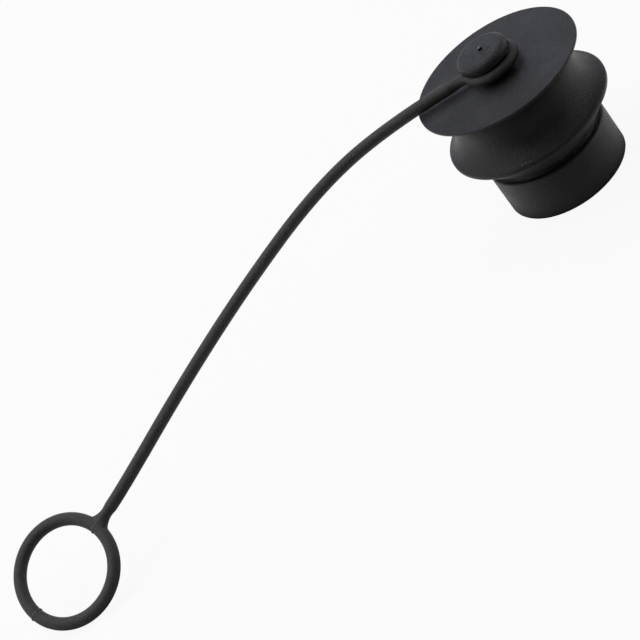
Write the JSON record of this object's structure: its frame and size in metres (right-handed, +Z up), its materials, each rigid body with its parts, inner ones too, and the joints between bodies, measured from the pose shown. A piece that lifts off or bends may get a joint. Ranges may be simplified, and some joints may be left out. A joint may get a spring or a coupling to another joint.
{
  "type": "connector sealing cover",
  "caption": "Round rubber sealing cap with a grip groove and a hollow plug barrel, tethered by a moulded lanyard whose ring holds it to the connector.",
  "frame": {"origin": "middle of the barrel's open end, on the surface that the cap stands on", "axes": "+Z up along the cap's axis, from the open end to the button; the lanyard leaves about along -X"},
  "size_m": [0.1592, 0.0492, 0.0357],
  "materials": {
    "cap_rubber": "matte moulded black",
    "lanyard_rubber": "matte moulded dark grey-black"
  },
  "bodies": {
    "cap": {"sealing_cap": "cap_rubber"},
    "lanyard": {"lanyard_loop": "lanyard_rubber", "lanyard_cord": "lanyard_rubber", "lanyard_ring": "lanyard_rubber"}
  },
  "joints": [
    {"name": "lanyard_swivel", "type": "hinge", "parent": "cap", "child": "lanyard", "pos_m": [0, 0, 0.03152], "axis": [0, 0, 1], "continuous": true}
  ]
}
